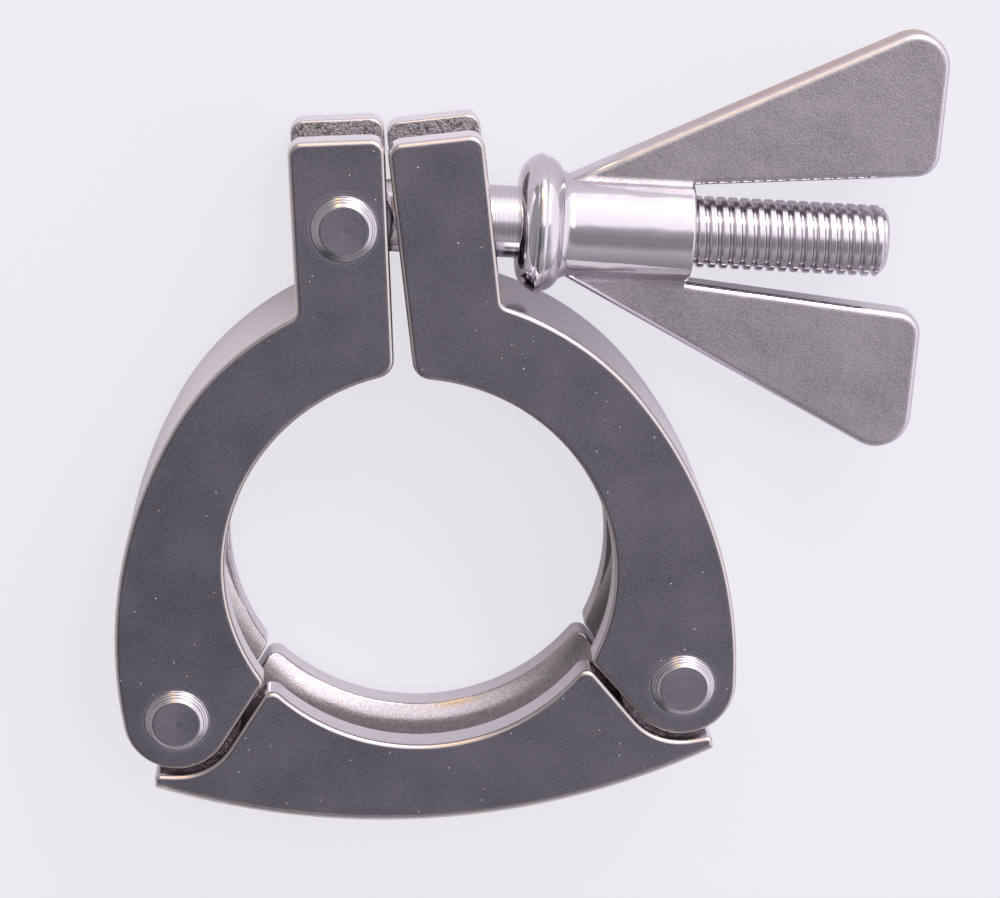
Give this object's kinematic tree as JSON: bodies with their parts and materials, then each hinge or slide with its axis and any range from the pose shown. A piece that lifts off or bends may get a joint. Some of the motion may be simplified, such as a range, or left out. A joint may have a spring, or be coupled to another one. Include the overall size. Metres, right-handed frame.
{
  "type": "sanitary clamp",
  "caption": "Hinged three-segment clamp for sanitary pipe ferrules, closed by a swing bolt with a long-winged nut; polished stainless steel with a V groove round its bore.",
  "frame": {"origin": "centre of the clamp's bore, half way through its depth", "axes": "+Z along the bore, +Y from the bottom segment up between the two ears, +X towards the wing nut"},
  "size_m": [0.1158, 0.104, 0.0218],
  "materials": {
    "cast_steel": "cast stainless steel, flat faces ground and polished",
    "pin_steel": "plain stainless steel with formed heads",
    "turned_steel": "polished stainless steel, nut's wings satin"
  },
  "bodies": {
    "bottom": {"bottom_segment": "cast_steel"},
    "left_arm": {"left_segment": "cast_steel", "left_hinge_pin": "pin_steel", "bolt_pivot_pin": "pin_steel"},
    "right_arm": {"right_segment": "cast_steel", "right_hinge_pin": "pin_steel"},
    "bolt": {"swing_bolt": "turned_steel"},
    "nut": {"wing_nut": "turned_steel"}
  },
  "joints": [
    {"name": "left_hinge", "type": "hinge", "parent": "bottom", "child": "left_arm", "pos_m": [-0.03461, -0.02142, 0], "axis": [0, 0, 1], "range_deg": [0, 75]},
    {"name": "right_hinge", "type": "hinge", "parent": "bottom", "child": "right_arm", "pos_m": [0.03461, -0.02142, 0], "axis": [0, 0, 1], "range_deg": [-75, 0]},
    {"name": "bolt_swing", "type": "hinge", "parent": "left_arm", "child": "bolt", "pos_m": [-0.00699, 0.04538, 0], "axis": [0, 0, 1], "range_deg": [0, 190]},
    {"name": "nut_travel", "type": "slide", "parent": "bolt", "child": "nut", "axis": [0.9929, -0.1193, 0], "range_m": [0, 0.026]}
  ],
  "couplings": [
    {"joint": "left_hinge", "follows": "nut_travel", "rad_per_m": 7.6},
    {"joint": "right_hinge", "follows": "nut_travel", "rad_per_m": -7.6}
  ]
}
